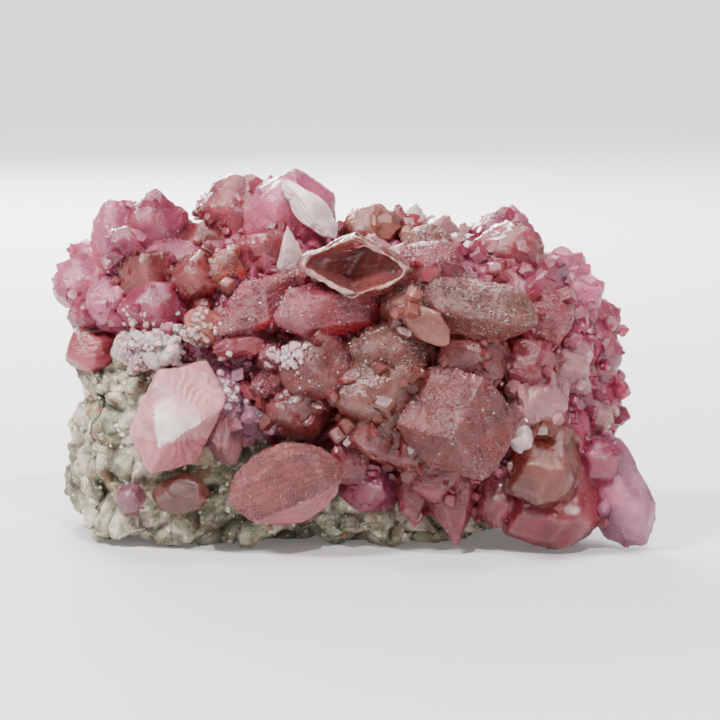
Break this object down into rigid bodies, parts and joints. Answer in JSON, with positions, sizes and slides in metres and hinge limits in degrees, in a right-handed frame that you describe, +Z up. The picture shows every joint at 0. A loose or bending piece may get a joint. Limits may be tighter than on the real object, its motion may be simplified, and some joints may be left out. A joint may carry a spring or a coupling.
{
  "type": "cobaltoan calcite specimen",
  "caption": "Hand-sized mineral specimen: rose calcite crystals grown over the top, front and side of a grey rock, resting on a flat break.",
  "frame": {"origin": "on the flat break that the specimen rests on, under the middle of the rock", "axes": "+Z up from the flat break, the crystals' best side faces -Y, +X along the specimen's length"},
  "size_m": [0.0543, 0.033, 0.0331],
  "materials": {
    "rock": "matt broken rock, grey-green and white with brown stains",
    "rose_calcite": "see-through rose crystal with a frosted, sugary skin",
    "dusky_rose_calcite": "see-through dusky rose crystal with a frosted skin",
    "pale_calcite": "cream-pink crystal with a bright white cleavage face",
    "lilac_calcite": "clear grey-lilac crystal",
    "smoky_calcite": "clear smoky crystal with a brown rim"
  },
  "bodies": {
    "root": {"matrix_rock": "rock", "crystal_cluster": "rose_calcite", "lens_crystal": "dusky_rose_calcite", "pale_crystal": "pale_calcite", "lilac_crystal": "lilac_calcite", "glassy_crystal": "smoky_calcite", "rounded_crystal": "dusky_rose_calcite"}
  },
  "joints": []
}
